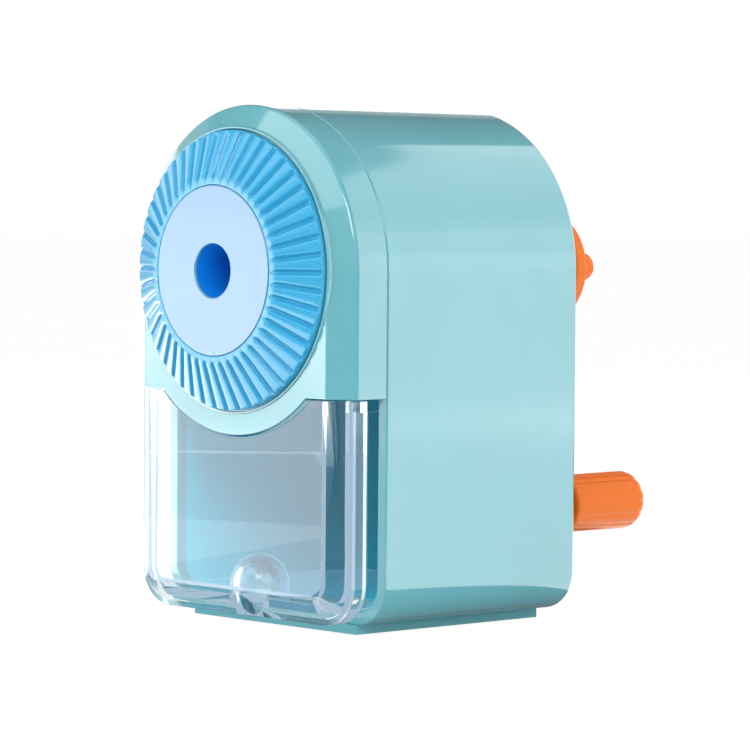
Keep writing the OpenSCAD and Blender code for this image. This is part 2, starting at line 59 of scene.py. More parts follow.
HALF_W = shell_high.x
AXIS_Z = shell_high.z - HALF_W      # height of the dial's and the crank's axis
Y_FRONT = cover_low.y
Y_SEAM = shell_low.y
Y_BACK = shell_high.y
BODY_Z = shell_low.z
WALL = 2.6 * MM
CORNER_R = 8.5 * MM
CHAMFER_W = 5.46 * MM
CHAMFER_Y = 3.4 * MM
COVER_LOW = 48.7 * MM                # straight lower edge of the cover
SKIRT_R = 33.8 * MM                  # round skirt of the cover under the dial
FACE_T = 2.4 * MM                    # thickness of the cover's face
DIAL_R = ring_high.x
DISC_R = face_high.x
Y_DISC = face_low.y
HOLE_R = 5.5 * MM
TUBE_END = tube_high.y
RIB_COUNT = 48
FLUTE_COUNT = 14
KNOB_Z = (knob_low.z + knob_high.z) / 2
LIP_R = 28.95 * MM                   # thin lip of the cover around the dial
LIP_PROUD = 0.35 * MM
# Behind this depth the casing's inside is a brighter teal, painted light that stands in for light bouncing
# inside the housing.
MOUTH = 2.5 * MM                     # how deep the outer colour reaches into the casing


# ---------------------------------------------------------------- mesh helpers

CORNER_STEPS = 12
ARCH_STEPS = 96
SKIRT_STEPS = 40
SMOOTH_ANGLE = 35                    # sharper edges than this stay sharp on turned and CAD shapes


def arc(cx, cz, r, start, end, steps):
    """Points of an arc, in degrees, both ends included."""
    angles = [math.radians(start + (end - start) * k / steps) for k in range(steps + 1)]
    return [(cx + r * math.cos(a), cz + r * math.sin(a)) for a in angles]


def fillet(points, radii, steps=5):
    """Rounds the inner corners of an open outline; a radius of 0 keeps the corner."""
    out = [Vector(points[0])]
    for before, corner, after, radius in zip(points, points[1:], points[2:], radii):
        before, corner, after = Vector(before), Vector(corner), Vector(after)
        if radius == 0:
            out.append(corner)
            continue
        to_before = (before - corner).normalized()
        to_after = (after - corner).normalized()
        half = to_before.angle(to_after) / 2
        reach = radius / math.tan(half)
        centre = corner + (to_before + to_after).normalized() * radius / math.sin(half)
        start = corner + to_before * reach - centre
        end = corner + to_after * reach - centre
        sweep = start.angle(end)
        for k in range(steps + 1):
            turn = sweep * k / steps
            out.append(centre + (start * math.sin(sweep - turn) + end * math.sin(turn)) / math.sin(sweep))
    out.append(Vector(points[-1]))
    return [tuple(p) for p in out]


def tub_outline(half, bottom, top, r):
    """Closed outline of a box with round lower corners, clockwise from the right top corner."""
    return ([(half, top)]
            + arc(half - r, bottom + r, r, 0, -90, CORNER_STEPS)
            + arc(r - half, bottom + r, r, -90, -180, CORNER_STEPS)
            + [(-half, top)])


def arch_outline(half, bottom, r):
    """Closed outline of the body: a tub with a round top."""
    return (arc(half - r, bottom + r, r, 0, -90, CORNER_STEPS)
            + arc(r - half, bottom + r, r, -90, -180, CORNER_STEPS)
            + arc(0, AXIS_Z, half, 180, 0, ARCH_STEPS))


def build(name, verts, faces, smooth_angle=40):
    """Object from points and faces, cleaned, with outward normals and smooth shading up to an angle."""
    mesh = bpy.data.meshes.new(name)
    mesh.from_pydata([tuple(v) for v in verts], [], faces)
    bm = bmesh.new()
    bm.from_mesh(mesh)
    bmesh.ops.remove_doubles(bm, verts=bm.verts, dist=1e-6)
    bmesh.ops.dissolve_degenerate(bm, edges=bm.edges, dist=1e-7)
    bmesh.ops.recalc_face_normals(bm, faces=bm.faces)
    bm.to_mesh(mesh)
    bm.free()
    obj = bpy.data.objects.new(name, mesh)
    bpy.context.scene.collection.objects.link(obj)
    smooth(obj, smooth_angle)
    return obj


def smooth(obj, angle):
    """Smooth shading that keeps edges sharper than an angle."""
    mesh = obj.data
    for polygon in mesh.polygons:
        polygon.use_smooth = True
    mesh.set_sharp_from_angle(angle=math.radians(angle))


def loft(name, rings, cap_start=True, cap_end=True, smooth_angle=40):
    """Skin through closed rings of equal length, with a flat cap at each end."""
    count = len(rings[0])
    verts = [p for ring in rings for p in ring]
    faces = []
    for k in range(len(rings) - 1):
        for i in range(count):
            j = (i + 1) % count
            faces.append((k * count + i, k * count + j, (k + 1) * count + j, (k + 1) * count + i))
    if cap_start:
        faces.append(tuple(range(count)))
    if cap_end:
        faces.append(tuple(reversed(range((len(rings) - 1) * count, len(rings) * count))))
    return build(name, verts, faces, smooth_angle)


def turned_rings(profile, steps, axis_z):
    """Circles around an axis along Y, one for each (radius, y) of a profile."""
    angles = [2 * math.pi * k / steps for k in range(steps)]
    return [[(r * math.cos(a), y, axis_z + r * math.sin(a)) for a in angles] for r, y in profile]


def turned(name, profile, steps, axis_z=AXIS_Z):
    """Solid turned from an open (radius, y) profile, with a flat cap at each end."""
    return loft(name, turned_rings(profile, steps, axis_z), smooth_angle=SMOOTH_ANGLE)


def turned_ring(name, profile, steps):
    """Ring turned about the dial's axis from a closed (radius, y) profile."""
    rings = turned_rings(profile + profile[:1], steps, AXIS_Z)
    return loft(name, rings, cap_start=False, cap_end=False, smooth_angle=SMOOTH_ANGLE)


def boolean(obj, tool, operation):
    """Applies an exact boolean and removes the tool."""
    modifier = obj.modifiers.new("cut", "BOOLEAN")
    modifier.operation = operation
    modifier.solver = "EXACT"
    modifier.object = tool
    apply_modifiers(obj)
    bpy.data.objects.remove(tool)


def apply_modifiers(obj):
    """Bakes the object's modifiers into its mesh."""
    graph = bpy.context.evaluated_depsgraph_get()
    mesh = bpy.data.meshes.new_from_object(obj.evaluated_get(graph))
    obj.modifiers.clear()
    obj.data = mesh


def steady_normals(obj):
    """Keeps large faces evenly shaded and leaves the turn of the surface to the small rounded ones."""
    modifier = obj.modifiers.new("steady", "WEIGHTED_NORMAL")
    modifier.mode = "FACE_AREA"
    modifier.weight = 100
    modifier.keep_sharp = True
    apply_modifiers(obj)


def bevel(obj, width, segments, angle, smooth_angle=40):
    """Rounds the edges sharper than an angle."""
    modifier = obj.modifiers.new("round", "BEVEL")
    modifier.width = width
    modifier.segments = segments
    modifier.limit_method = "ANGLE"
    modifier.angle_limit = math.radians(angle)
    modifier.harden_normals = False
    apply_modifiers(obj)
    smooth(obj, smooth_angle)


def join(name, parts):
    """Joins several objects into one."""
    verts, faces = [], []
    for part in parts:
        base = len(verts)
        verts += [part.matrix_world @ v.co for v in part.data.vertices]
        faces += [tuple(base + i for i in p.vertices) for p in part.data.polygons]
        bpy.data.objects.remove(part)
    return build(name, verts, faces)


# ---------------------------------------------------------------- materials

# Painted glow: beyond this many reflections the clear plastic shows a pale emission, painted light in place
# of light caught in its walls.
PAINTED_GLOW_AFTER = 2.5                   # reflections along a path, beyond which light counts as caught


def principled(name):
    """New material with its node tree and its main shader."""
    material = bpy.data.materials.new(name)
    material.use_nodes = True
    nodes, links = material.node_tree.nodes, material.node_tree.links
    return material, nodes, links, nodes["Principled BSDF"]


def noise(nodes, links, scale, detail=3.0):
    """Noise over the object's own coordinates, in metres."""
    place = nodes.new("ShaderNodeTexCoord")
    texture = nodes.new("ShaderNodeTexNoise")
    texture.inputs["Scale"].default_value = scale
    texture.inputs["Detail"].default_value = detail
    links.new(place.outputs["Object"], texture.inputs["Vector"])
    return texture.outputs["Fac"]


def ramp(nodes, links, value, low, high):
    """Colour ramp between two colours over the middle of a 0 to 1 value, where noise mostly lies."""
    node = nodes.new("ShaderNodeValToRGB")
    for element, position, colour in zip(node.color_ramp.elements, (0.3, 0.7), (low, high)):
        element.position = position
        element.color = (*colour, 1)
    links.new(value, node.inputs["Fac"])
    return node.outputs["Color"]


def spread(nodes, links, value, low, high):
    """Maps a 0 to 1 value onto a range."""
    node = nodes.new("ShaderNodeMapRange")
    node.inputs["To Min"].default_value = low
    node.inputs["To Max"].default_value = high
    links.new(value, node.inputs["Value"])
    return node.outputs["Result"]


def shade(colour, factor):
    """Colour made darker or lighter."""
    return tuple(c * factor for c in colour)


def grain(nodes, links, shader, scale, strength):
    """Very fine unevenness of the surface."""
    bump = nodes.new("ShaderNodeBump")
    bump.inputs["Strength"].default_value = strength
    bump.inputs["Distance"].default_value = 0.0002
    links.new(noise(nodes, links, scale, 2), bump.inputs["Height"])
    links.new(bump.outputs["Normal"], shader.inputs["Normal"])


def moulded(name, colour, roughness, bumps=0.02, coat=0.0, specular=0.5):
    """Moulded plastic: faint colour clouds, uneven gloss and a very fine surface grain."""
    material, nodes, links, shader = principled(name)
    clouds = ramp(nodes, links, noise(nodes, links, 45), shade(colour, 0.96), shade(colour, 1.03))
    links.new(clouds, shader.inputs["Base Color"])
    gloss = spread(nodes, links, noise(nodes, links, 220), roughness * 0.8, roughness * 1.2)
    links.new(gloss, shader.inputs["Roughness"])
    grain(nodes, links, shader, 2600, bumps)
    shader.inputs["IOR"].default_value = 1.5
    shader.inputs["Specular IOR Level"].default_value = specular
    shader.inputs["Coat Weight"].default_value = coat
    shader.inputs["Coat Roughness"].default_value = 0.07
    return material


def metal(name, colour, roughness, scratches=400, bumps=0.06):
    """Machined or cast metal with fine marks."""
    material, nodes, links, shader = principled(name)
    marks = noise(nodes, links, scratches, 6)
    tone = ramp(nodes, links, marks, shade(colour, 0.86), shade(colour, 1.08))
    links.new(tone, shader.inputs["Base Color"])
    links.new(spread(nodes, links, marks, roughness * 0.75, roughness * 1.3), shader.inputs["Roughness"])
    grain(nodes, links, shader, 3 * scratches, bumps)
    shader.inputs["Metallic"].default_value = 1.0
    return material


def clear_plastic(name):
    """Clear polystyrene with a faint blue tint and a painted pale glow: emission that stands in for light
    caught in its walls.
    """
    material, nodes, links, shader = principled(name)
    tint = ramp(nodes, links, noise(nodes, links, 30), (0.90, 0.965, 0.985), (0.93, 0.98, 0.995))
    links.new(tint, shader.inputs["Base Color"])
    links.new(spread(nodes, links, noise(nodes, links, 150), 0.0, 0.03), shader.inputs["Roughness"])
    shader.inputs["Transmission Weight"].default_value = 1.0
    shader.inputs["IOR"].default_value = 1.59
    shader.inputs["Specular Tint"].default_value = (0.74, 0.88, 1.0, 1)
    # Painted glow: after a few reflections the ray gets a pale emission instead of the plastic's real
    # shading.
    painted_glow_mask = nodes.new("ShaderNodeMath")
    painted_glow_mask.operation = "GREATER_THAN"
    painted_glow_mask.inputs[1].default_value = PAINTED_GLOW_AFTER
    path = nodes.new("ShaderNodeLightPath")
    painted_edge_glow = nodes.new("ShaderNodeEmission")
    painted_edge_glow.inputs["Color"].default_value = (0.38, 0.52, 0.66, 1)
    mix = nodes.new("ShaderNodeMixShader")
    links.new(path.outputs["Glossy Depth"], painted_glow_mask.inputs[0])
    links.new(painted_glow_mask.outputs["Value"], mix.inputs["Fac"])
    links.new(shader.outputs["BSDF"], mix.inputs[1])
    links.new(painted_edge_glow.outputs["Emission"], mix.inputs[2])
    links.new(mix.outputs["Shader"], nodes["Material Output"].inputs["Surface"])
    material.cycles.emission_sampling = "NONE"
    return material


TEAL = moulded("teal_abs", (0.130, 0.40, 0.455), 0.12, 0.010, coat=1.0)
# Brighter, more saturated copy of the teal for the inside of the housing: painted light, the same plastic
# as outside.
INSIDE_TEAL_PAINTED_LIGHT = moulded("inside_teal_painted_light", (0.02, 0.66, 0.86), 0.5, 0.02)
RIB_BLUE = moulded("sky_blue_abs", (0.03, 0.36, 0.62), 0.25, 0.02, coat=0.3)
# The pencil tube is blue plastic like the ribs; its deeper, more saturated blue is painted shade for the
# inside of the hole.
TUBE_BLUE_PAINTED_SHADE = moulded("tube_blue_painted_shade", (0.003, 0.26, 0.82), 0.5, 0.02, specular=0.2)
PALE_BLUE = moulded("pale_blue_abs", (0.09, 0.27, 0.46), 0.3, 0.02, coat=1.0)
ORANGE = moulded("orange_abs", (0.80, 0.16, 0.004), 0.38, 0.02, specular=0.22)
WHITE = moulded("white_acetal", (0.78, 0.79, 0.77), 0.45, 0.05)
RUBBER = moulded("black_rubber", (0.03, 0.032, 0.035), 0.75, 0.3)
CLEAR = clear_plastic("clear_polystyrene")
STEEL = metal("bright_steel", (0.62, 0.63, 0.65), 0.25)
CAST = metal("cast_metal", (0.26, 0.27, 0.29), 0.45, 250, 0.15)
BRONZE = metal("sintered_bronze", (0.58, 0.38, 0.18), 0.45, 700, 0.15)


def dress(obj, *materials):
    """Replaces the materials of an object."""
    obj.data.materials.clear()
    for material in materials:
        obj.data.materials.append(material)


def place(obj, body, slot, nodes, *materials):
    """Gives a piece its body, the CAD nodes that it stands for and its materials; the slot is not used."""
    steady_normals(obj)
    if materials:
        dress(obj, *materials)
    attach(obj, body)
    if nodes:
        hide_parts(*nodes)
    return obj


# ---------------------------------------------------------------- camera, light and floor

CAMERA_AT = Vector((0.5822, -0.53356, 0.08944))
CAMERA_AZIMUTH = math.radians(47.376)
CAMERA_DOWN = math.radians(2.749)
CAMERA_ROLL = math.radians(0.446)
CAMERA_LENS = 178.99
FLOOR_WHITENING = 0.92               # share of the floor's own glow where it is seen or reflected
FLOOR_GLOW = 1.05                    # brightness of that glow seen directly or through the clear plastic
FLOOR_IN_GLOSS = 0.15                # brightness of that glow in reflections
# Grey of the surroundings from straight down or level (0) to straight up (1)
WORLD_LEVELS = ((0.0, 0.4), (0.40, 0.4), (0.45, 0.12), (0.80, 0.2), (1.0, 1.0))
# Soft lights: middle, the point that each faces, width and height, brightness
LIGHTS = {
    "front_left": ((-0.40, -0.36, 0.166), (0, 0, 0.10), (0.95, 0.335), 1.7),
    "front_top": ((-0.11, -0.43, 0.47), (0, 0, 0.07), (0.60, 0.34), 2.0),
    "camera_side": ((0.42, -0.46, 0.40), (0, 0, 0.05), (0.34, 0.26), 5.5),
    "side_fill": ((0.75, -0.05, 0.35), (0, 0, 0.05), (0.80, 0.50), 1.8),
    "back_wall": ((0.41, 0.5, 0.325), (0.41, 0, 0.325), (0.98, 0.645), 1.4),
    "backdrop": ((-0.80, 0.73, 0.24), (0, 0, 0.24), (1.4, 0.478), 1.1),
}
NOT_REFLECTED = ("side_fill",)
# White cards that only show as reflections and stand upright, in the same order as the lights
CARDS = {
    "side_card": ((0.48, 0.40, 0.082), (0, 0, 0.082), (0.34, 0.16), 0.9),
    "side_card_top": ((0.48, 0.40, 0.232), (0, 0, 0.232), (0.34, 0.14), 0.45),
}
# White cards that only show as reflections and lie on the floor: middle, length and width, brightness
FLOOR_CARDS = {
    "floor_card_front": ((-0.226, -0.217, 0.001), (0.36, 0.467), 4.3),
    "floor_card_left": ((-0.588, 0.226, 0.001), (0.50, 1.14), 1.0),
    "floor_card_side": ((0.32, 0.27, 0.001), (0.34, 0.74), 2.3),
}
# Stack of upright white strips in front of the dial, from the floor up
FACE_CARD_AT = (-0.36, -0.37)
FACE_CARD_FOOT = 0.0023
FACE_CARD_LOOK_Y = -0.037
FACE_CARD_SIZE = (0.26, 0.016)
FACE_CARD_LEVELS = (1.6, 2.3, 2.8, 2.8, 2.5, 1.9, 1.2, 0.7, 0.3)


def make_camera():
    """Camera at the viewing angle of the front right corner."""
    forward = Vector((-math.sin(CAMERA_AZIMUTH) * math.cos(CAMERA_DOWN),
                      math.cos(CAMERA_AZIMUTH) * math.cos(CAMERA_DOWN),
                      -math.sin(CAMERA_DOWN)))
    level_right = forward.cross(Vector((0, 0, 1))).normalized()
    level_up = level_right.cross(forward)
    right = level_right * math.cos(CAMERA_ROLL) + level_up * math.sin(CAMERA_ROLL)
    up = level_up * math.cos(CAMERA_ROLL) - level_right * math.sin(CAMERA_ROLL)
    data = bpy.data.cameras.new("camera")
    data.lens = CAMERA_LENS
    data.sensor_width = 36
    data.clip_start = 0.01
    data.clip_end = 20
    camera = bpy.data.objects.new("camera", data)
    camera.matrix_world = Matrix((right, up, -forward)).transposed().to_4x4()
    camera.location = CAMERA_AT
    bpy.context.scene.collection.objects.link(camera)
    bpy.context.scene.camera = camera


def area_light(name, place_at, rotation, size, radiance):
    """Rectangular soft light of a given brightness that doesn't show in the picture itself."""
    data = bpy.data.lights.new(name, "AREA")
    data.shape = "RECTANGLE"
    data.size, data.size_y = size
    data.energy = radiance * math.pi * size[0] * size[1]
    light = bpy.data.objects.new(name, data)
    light.location = place_at
    light.rotation_euler = rotation
    light.visible_camera = False
    bpy.context.scene.collection.objects.link(light)
    return light


def towards(place_at, look_at):
    """Rotation of a light that faces a point."""
    return (Vector(look_at) - Vector(place_at)).to_track_quat("-Z", "Y").to_euler()


def upwards(place_at):
    """Rotation of a light that lies face up with its width square to the way back to the origin."""
    return math.pi, 0, math.atan2(-place_at[0], place_at[1])


def card(name, place_at, rotation, size, radiance):
    """White card: it shows in reflections and adds no light to rough surfaces."""
    light = area_light(name, place_at, rotation, size, radiance)
    light.visible_diffuse = False
    light.visible_transmission = False


def make_world():
    """White to the camera; as light, a bright horizon under a dim ceiling with a bright middle."""
    world = bpy.data.worlds.new("studio")
    world.use_nodes = True
    nodes, links = world.node_tree.nodes, world.node_tree.links
    light = nodes["Background"]
    view = nodes.new("ShaderNodeBackground")
    path = nodes.new("ShaderNodeLightPath")
    mix = nodes.new("ShaderNodeMixShader")
    direction = nodes.new("ShaderNodeTexCoord")
    split = nodes.new("ShaderNodeSeparateXYZ")
    levels = nodes.new("ShaderNodeValToRGB")
    stops = levels.color_ramp.elements
    stops.remove(stops[1])
    for position, grey in WORLD_LEVELS:
        stop = stops[0] if position == 0 else stops.new(position)
        stop.position = position
        stop.color = (grey, grey, grey, 1)
    links.new(direction.outputs["Generated"], split.inputs["Vector"])
    links.new(split.outputs["Z"], levels.inputs["Fac"])
    links.new(levels.outputs["Color"], light.inputs["Color"])
    links.new(path.outputs["Is Camera Ray"], mix.inputs["Fac"])
    links.new(light.outputs["Background"], mix.inputs[1])
    links.new(view.outputs["Background"], mix.inputs[2])
    links.new(mix.outputs["Shader"], nodes["World Output"].inputs["Surface"])
    light.inputs["Strength"].default_value = 1.0
    view.inputs["Color"].default_value = (1, 1, 1, 1)
    bpy.context.scene.world = world


def make_lights():
    """Large soft lights and the white cards that the glossy surfaces reflect."""
    for name, (place_at, look_at, size, radiance) in LIGHTS.items():
        light = area_light(name, place_at, towards(place_at, look_at), size, radiance)
        light.visible_glossy = name not in NOT_REFLECTED
    for name, (place_at, size, radiance) in FLOOR_CARDS.items():
        card(name, place_at, upwards(place_at), size, radiance)
    for name, (place_at, look_at, size, radiance) in CARDS.items():
        card(name, place_at, towards(place_at, look_at), size, radiance)
    for k, radiance in enumerate(FACE_CARD_LEVELS):
        place_at = (*FACE_CARD_AT, FACE_CARD_FOOT + (k + 0.5) * FACE_CARD_SIZE[1])
        look_at = (0, FACE_CARD_LOOK_Y, place_at[2])
        card(f"face_card_{k}", place_at, towards(place_at, look_at), FACE_CARD_SIZE, radiance)


def make_floor():
    """Pale paper floor that is nearly white when seen, and dimmer in reflections."""
    mesh = bpy.data.meshes.new("floor")
    mesh.from_pydata([(-6, -6, 0), (6, -6, 0), (6, 6, 0), (-6, 6, 0)], [], [(0, 1, 2, 3)])
    floor = bpy.data.objects.new("floor", mesh)
    bpy.context.scene.collection.objects.link(floor)
    material, nodes, links, shader = principled("floor_paper")
    paper = ramp(nodes, links, noise(nodes, links, 3), (0.80, 0.80, 0.80), (0.84, 0.84, 0.84))
    links.new(paper, shader.inputs["Base Color"])
    shader.inputs["Roughness"].default_value = 0.9
    shader.inputs["Specular IOR Level"].default_value = 0.0
    glow = nodes.new("ShaderNodeEmission")
    path = nodes.new("ShaderNodeLightPath")
    share = spread(nodes, links, path.outputs["Diffuse Depth"], FLOOR_WHITENING, 0)
    reflected = nodes.new("ShaderNodeMath")
    reflected.operation = "SUBTRACT"
    links.new(path.outputs["Is Glossy Ray"], reflected.inputs[0])
    links.new(path.outputs["Is Transmission Ray"], reflected.inputs[1])
    strength = spread(nodes, links, reflected.outputs["Value"], FLOOR_GLOW, FLOOR_IN_GLOSS)
    mix = nodes.new("ShaderNodeMixShader")
    links.new(share, mix.inputs["Fac"])
    links.new(strength, glow.inputs["Strength"])
    links.new(shader.outputs["BSDF"], mix.inputs[1])
    links.new(glow.outputs["Emission"], mix.inputs[2])
    links.new(mix.outputs["Shader"], nodes["Material Output"].inputs["Surface"])
    material.cycles.emission_sampling = "NONE"
    dress(floor, material)


# ---------------------------------------------------------------- body shell

def paint_inside(obj):
    """Gives the second material, a brighter teal of painted light standing in for light bouncing inside the
    housing, to the faces that look into the housing behind its mouth.
    """
    for polygon in obj.data.polygons:
        x, y, z = polygon.center
        depth = HALF_W - (abs(x) if z < AXIS_Z else math.hypot(x, z - AXIS_Z))
        if min(depth, z - BODY_Z) > 0.9 * WALL and Y_SEAM + MOUTH < y < Y_BACK - 0.9 * WALL:
            polygon.material_index = 1


def make_casing():
    """Outer shell with a rounded back edge and a thin rim at the front, open towards the cover."""
    deep = 3 * MM
    y_in = Y_BACK - WALL
    corners = [(WALL + deep, y_in), (WALL, y_in), (WALL, Y_SEAM + MOUTH), (WALL, Y_SEAM), (0, Y_SEAM),
               (0, Y_BACK), (deep, Y_BACK)]
    section = fillet(corners, [1.5 * MM, 0, 0.3 * MM, 0.4 * MM, 1.1 * MM])
    rings = [[(x, y, z) for x, z in arch_outline(HALF_W - d, BODY_Z + d, max(CORNER_R - d, 1 * MM))]
             for d, y in section]
    casing = loft("casing", rings)
    place(casing, "housing", "teal_plastic", ["body_shell"], TEAL, INSIDE_TEAL_PAINTED_LIGHT)
    paint_inside(casing)


# ---------------------------------------------------------------- front cover

def cover_side(d):
    """Open outline of the cover at an inset: up the right side, over the arch and down the left side."""
    half = HALF_W - d
    return ([(half, COVER_LOW), (half, (COVER_LOW + AXIS_Z) / 2)]
            + arc(0, AXIS_Z, half, 0, 180, ARCH_STEPS)
            + [(-half, (COVER_LOW + AXIS_Z) / 2), (-half, COVER_LOW)])


def cover_bottom(d):
    """The rest of the outline: in along the straight lower edge, round under the dial and out again."""
    drop = AXIS_Z - COVER_LOW
    reach = math.degrees(math.asin(drop / SKIRT_R))
    half = HALF_W - d
    edge = SKIRT_R * math.cos(math.radians(reach))
    left = [(-(half + (edge - half) * k / 4), COVER_LOW) for k in range(1, 4)]
    right = [(edge + (half - edge) * k / 4, COVER_LOW) for k in range(1, 4)]
    return left + arc(0, AXIS_Z, SKIRT_R, -180 + reach, -reach, SKIRT_STEPS) + right


def cover_walls(flat, inner_flat, y_in):
    """Points and faces of the cover's outer and inner walls, down to its open lower edge."""
    corners = [(flat, Y_FRONT), (CHAMFER_W, Y_FRONT), (0, Y_FRONT + CHAMFER_Y), (0, Y_SEAM), (WALL, Y_SEAM),
               (WALL, y_in + CHAMFER_Y - 0.8 * MM), (inner_flat, y_in)]
    section = fillet(corners, [0.9 * MM, 1.2 * MM, 0.35 * MM, 0.3 * MM, 0])
    verts = [(x, y, z) for d, y in section for x, z in cover_side(d)]
    count = len(verts) // len(section)
    faces = []
    for k in range(len(section) - 1):
        for i in range(count - 1):
            faces.append((k * count + i, k * count + i + 1, (k + 1) * count + i + 1, (k + 1) * count + i))
    faces.append(tuple(k * count for k in range(len(section))))
    faces.append(tuple(k * count + count - 1 for k in range(len(section))))
    return verts, faces, count


def cover_face(flat, inner_flat, y_in, side_count):
    """Points and faces of the cover's flat front around the hole that the dial covers."""
    hole_r = 20 * MM
    verts, faces = [], []
    for d, y, has_hole in ((flat, Y_FRONT, False), (flat, Y_FRONT, True), (inner_flat, y_in, True),
                           (inner_flat, y_in, False)):
        edge = cover_side(d) + cover_bottom(d)
        if has_hole:
            angles = [math.atan2(z - AXIS_Z, x) for x, z in edge]
            edge = [(hole_r * math.cos(a), AXIS_Z + hole_r * math.sin(a)) for a in angles]
        verts += [(x, y, z) for x, z in edge]
    size = len(verts) // 4
    for k in range(3):
        for i in range(size):
            j = (i + 1) % size
            faces.append((k * size + i, k * size + j, (k + 1) * size + j, (k + 1) * size + i))
    for i in range(side_count - 1, size):
        j = (i + 1) % size
        faces.append((i, j, 3 * size + j, 3 * size + i))
    return verts, faces


def make_cover():
    """Cover with a chamfered edge, a round skirt under the dial and a thin lip around it."""
    flat = CHAMFER_W + 0.7 * MM
    inner_flat = flat + 0.6 * MM
    y_in = Y_FRONT + FACE_T
    walls, wall_faces, side_count = cover_walls(flat, inner_flat, y_in)
    front, front_faces = cover_face(flat, inner_flat, y_in, side_count)
    base = len(walls)
    faces = wall_faces + [tuple(base + i for i in face) for face in front_faces]
    cover = build("cover", walls + front, faces)
    bevel(cover, 0.3 * MM, 2, 60)
    y_lip = Y_FRONT - LIP_PROUD
    y_root = Y_FRONT + 1.0 * MM
    lip = [(LIP_R, y_root), (LIP_R, y_lip), (LIP_R + 0.55 * MM, y_lip), (LIP_R + 0.65 * MM, y_root)]
    rim = turned_ring("rim", fillet(lip, [0.2 * MM, 0.25 * MM], 4), 192)
    cover = join("cover_and_rim", [cover, rim])
    place(cover, "housing", "teal_plastic", ["front_cover"], TEAL)


# ---------------------------------------------------------------- dial

def ease(t):
    """Smooth step from 0 to 1."""
    t = min(max(t, 0.0), 1.0)
    return t * t * (3 - 2 * t)


def between(start, end, parts):
    """Points that cut a straight line into equal parts, without its ends."""
    (r0, y0), (r1, y1) = start, end
    return [(r0 + (r1 - r0) * k / parts, y0 + (y1 - y0) * k / parts) for k in range(1, parts)]


def dial_section(r_in, y_edge):
    """Section of the dial ring as (radius, y): outer wall, slope and inner rim."""
    y_foot = Y_FRONT - 0.1 * MM
    y_inner = Y_DISC + 0.05 * MM
    shoulder = (DIAL_R - 3 * MM, y_edge - 1.16 * MM)
    outer = fillet([(DIAL_R - 3 * MM, y_foot), (DIAL_R, y_foot), (DIAL_R, y_edge), shoulder],
                   [0.1 * MM, 0.3 * MM], 5)
    inner = fillet([shoulder, (r_in + 1.5 * MM, y_inner), (r_in, y_inner), (r_in, Y_DISC + 1.9 * MM),
                    (r_in, y_foot)], [2.2 * MM, 0.25 * MM, 0], 7)
    return outer[:-1] + between(outer[-2], inner[1], 20) + inner[1:]


def rib_wave(r, r_in, fade):
    """Angles and depths once around the dial: a V groove and a slightly crowned rib in turn."""
    groove_half = 0.68 * MM
    groove_depth = 1.0 * MM
    crown = 0.10 * MM
    groove_at = (-1.0, -0.75, -0.4, -0.08, 0.08, 0.4, 0.75)
    rib_at = (0.0, 0.1, 0.3, 0.5, 0.7, 0.9)
    period = 2 * math.pi / RIB_COUNT
    half = groove_half * (0.55 + 0.45 * ease((r - r_in) / (3 * MM))) / r
    rib_width = period - 2 * half
    wave = []
    for rib in range(RIB_COUNT):
        middle = rib * period
        wave += [(middle + s * half, groove_depth * fade * (1 - abs(s)) ** 0.85) for s in groove_at]
        wave += [(middle + half + f * rib_width, -crown * fade * (1 - (2 * f - 1) ** 2)) for f in rib_at]
    return wave


def make_dial_ring():
    """Cone of ribs between V grooves that run out through the outer wall and end in points inside."""
    r_in = DISC_R + 0.06 * MM
    y_edge = Y_FRONT - 1.5 * MM
    rings = []
    for r, y in dial_section(r_in, y_edge):
        fade = 0
        if y < y_edge + 0.55 * MM and r > r_in + 0.1 * MM:
            fade = ease((y_edge + 0.5 * MM - y) / (0.9 * MM)) * ease((r - r_in - 0.7 * MM) / (1.5 * MM))
        y_row = max(y, Y_DISC + 0.02 * MM)
        wave = rib_wave(r, r_in, fade)
        rings.append([(r * math.cos(a), y_row + dy, AXIS_Z + r * math.sin(a)) for a, dy in wave])
    dial = loft("ribbed_ring", rings + rings[:1], cap_start=False, cap_end=False, smooth_angle=55)
    place(dial, "dial", "blue_plastic", ["dial_ring"], RIB_BLUE)


def make_dial_face():
    """Smooth disc with a softened edge and a rounded mouth, and the tube behind the mouth."""
    tube_in = HOLE_R
    tube_out = 7.3 * MM
    y_mouth = Y_DISC + 0.45 * MM
    y_behind = Y_DISC + 2 * MM
    corners = [(tube_in, y_mouth + 0.05 * MM), (tube_in, Y_DISC), (DISC_R, Y_DISC), (DISC_R, y_behind),
               (tube_out, y_behind), (tube_out, y_mouth)]
    disc = turned_ring("disc", fillet(corners, [0.42 * MM, 0.25 * MM, 0.1 * MM, 0], 8), 160)
    place(disc, "dial", "pale_blue_plastic", ["dial_face"], PALE_BLUE)
    # The tube's deeper blue is painted shade inside the pencil hole.
    tube = turned_ring("pencil_tube", [(tube_in, y_mouth + 0.05 * MM), (tube_out, y_mouth + 0.05 * MM),
                                       (tube_out, TUBE_END), (tube_in, TUBE_END)], 96)
    place(tube, "dial", "blue_plastic", ["guide_tube"], TUBE_BLUE_PAINTED_SHADE)


# ---------------------------------------------------------------- drawer

DRAWER_HALF = drawer_high.x
DRAWER_LOW = drawer_low.z
DRAWER_TOP = drawer_high.z
DRAWER_BACK = drawer_high.y
BLOCK_BACK = Y_FRONT + 7.2 * MM      # back of the wide front block
TRAY_HALF = 31.1 * MM
TRAY_LOW = 5.3 * MM
TRAY_TOP = 46 * MM
TRAY_CORNER = 5.9 * MM
DRAWER_WALL = 2 * MM
SCALLOP_R = 34.2 * MM
POCKET_R = 4.5 * MM
POCKET_WALL = 1.7 * MM
POCKET_TOP = 9.2 * MM                # height at which the dome of the pocket starts


